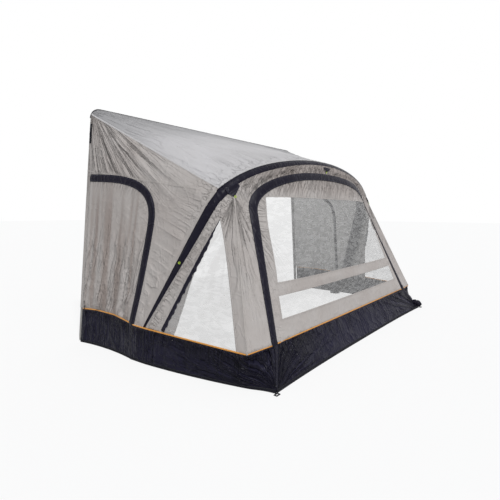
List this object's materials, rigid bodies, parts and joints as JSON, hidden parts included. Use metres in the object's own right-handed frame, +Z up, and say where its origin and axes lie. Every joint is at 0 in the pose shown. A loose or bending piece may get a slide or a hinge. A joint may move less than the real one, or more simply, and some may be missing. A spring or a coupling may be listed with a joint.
{
  "type": "inflatable awning",
  "caption": "Caravan porch awning on an inflatable arch: sloping roof, side doors, clear windows, zip-in front panel, dark mudwalls with bright piping, rail bead and rear pads.",
  "frame": {"origin": "centre of the box that holds the awning, on the ground", "axes": "+X along the caravan wall to the right seen from the front, +Y towards the caravan, +Z up"},
  "size_m": [4.2042, 2.3532, 2.4335],
  "materials": {
    "roof_cloth": "satin",
    "wall_cloth": "satin",
    "navy_cloth": "satin",
    "film": "gloss",
    "piping": "satin",
    "tape": "matte",
    "tube": "satin",
    "plastic": "matte",
    "hi_vis": "matte",
    "foam": "matte"
  },
  "bodies": {
    "awning": {"beam_bladder": "tube", "beam_foot_left": "plastic", "beam_foot_right": "plastic", "beam_sleeve": "navy_cloth", "front_surround": "wall_cloth", "front_zip_tape_surround": "tape", "guy_loop_centre": "hi_vis", "guy_loop_left": "hi_vis", "guy_loop_right": "hi_vis", "guy_tab_centre": "navy_cloth", "guy_tab_left": "navy_cloth", "guy_tab_right": "navy_cloth", "keder_bead": "tape", "leg_loop_left": "hi_vis", "leg_loop_right": "hi_vis", "mudwall_side_left": "navy_cloth", "mudwall_side_right": "navy_cloth", "peg_loop_left": "tape", "peg_loop_right": "tape", "piping_side_left": "piping", "piping_side_right": "piping", "rail_strap_left": "tape", "rail_strap_right": "tape", "rear_pad_left": "foam", "rear_pad_right": "foam", "roof_panel": "roof_cloth", "side_front_left": "wall_cloth", "side_front_right": "wall_cloth", "side_panel_left": "wall_cloth", "side_panel_right": "wall_cloth", "side_window_left": "film", "side_window_right": "film", "side_yoke_left": "wall_cloth", "side_yoke_right": "wall_cloth", "side_zip_tape_left": "tape", "side_zip_tape_right": "tape", "valve_body": "plastic"},
    "front": {"front_panel": "wall_cloth", "front_window_upper": "film", "front_window_lower": "film", "front_zip_cover": "navy_cloth", "front_zip_tape_panel": "tape", "piping_front": "piping", "mudwall_front": "navy_cloth"},
    "door_left": {"door_panel_left": "wall_cloth", "door_piping_left": "piping", "door_mudwall_left": "navy_cloth", "door_zip_tape_left": "tape", "door_zip_cover_left": "navy_cloth"},
    "door_right": {"door_panel_right": "wall_cloth", "door_piping_right": "piping", "door_mudwall_right": "navy_cloth", "door_zip_tape_right": "tape", "door_zip_cover_right": "navy_cloth"},
    "front_slider_left": {"front_zip_slider_left": "plastic"},
    "front_slider_right": {"front_zip_slider_right": "plastic"},
    "door_slider_left": {"door_zip_slider_left": "plastic"},
    "door_slider_right": {"door_zip_slider_right": "plastic"},
    "valve_cap": {"valve_cap": "plastic"}
  },
  "joints": [
    {"name": "front_drop", "type": "hinge", "parent": "awning", "child": "front", "pos_m": [0, -1.15045, 0.0075], "axis": [1, 0, 0], "range_deg": [0, 104]},
    {"name": "door_left_swing", "type": "hinge", "parent": "awning", "child": "door_left", "pos_m": [-2.00057, 1.12655, 1.02453], "axis": [-0.0974, 0, -0.9952], "range_deg": [0, 90]},
    {"name": "door_right_swing", "type": "hinge", "parent": "awning", "child": "door_right", "pos_m": [2.00057, 1.12655, 1.02453], "axis": [-0.0974, 0, 0.9952], "range_deg": [0, 90]},
    {"name": "front_zip_left_run", "type": "slide", "parent": "awning", "child": "front_slider_left", "axis": [0.2262, 0.3732, 0.8997], "range_m": [0, 0.95]},
    {"name": "front_zip_right_run", "type": "slide", "parent": "awning", "child": "front_slider_right", "axis": [-0.2262, 0.3732, 0.8997], "range_m": [0, 0.95]},
    {"name": "door_zip_left_run", "type": "slide", "parent": "awning", "child": "door_slider_left", "axis": [0.2512, -0.0366, 0.9672], "range_m": [0, 0.28]},
    {"name": "door_zip_right_run", "type": "slide", "parent": "awning", "child": "door_slider_right", "axis": [-0.2512, -0.0366, 0.9672], "range_m": [0, 0.28]},
    {"name": "valve_cap_flip", "type": "hinge", "parent": "awning", "child": "valve_cap", "pos_m": [-1.82094, 0.042, 0.50153], "axis": [0.0462, -0.9155, -0.3998], "range_deg": [0, 100]}
  ]
}
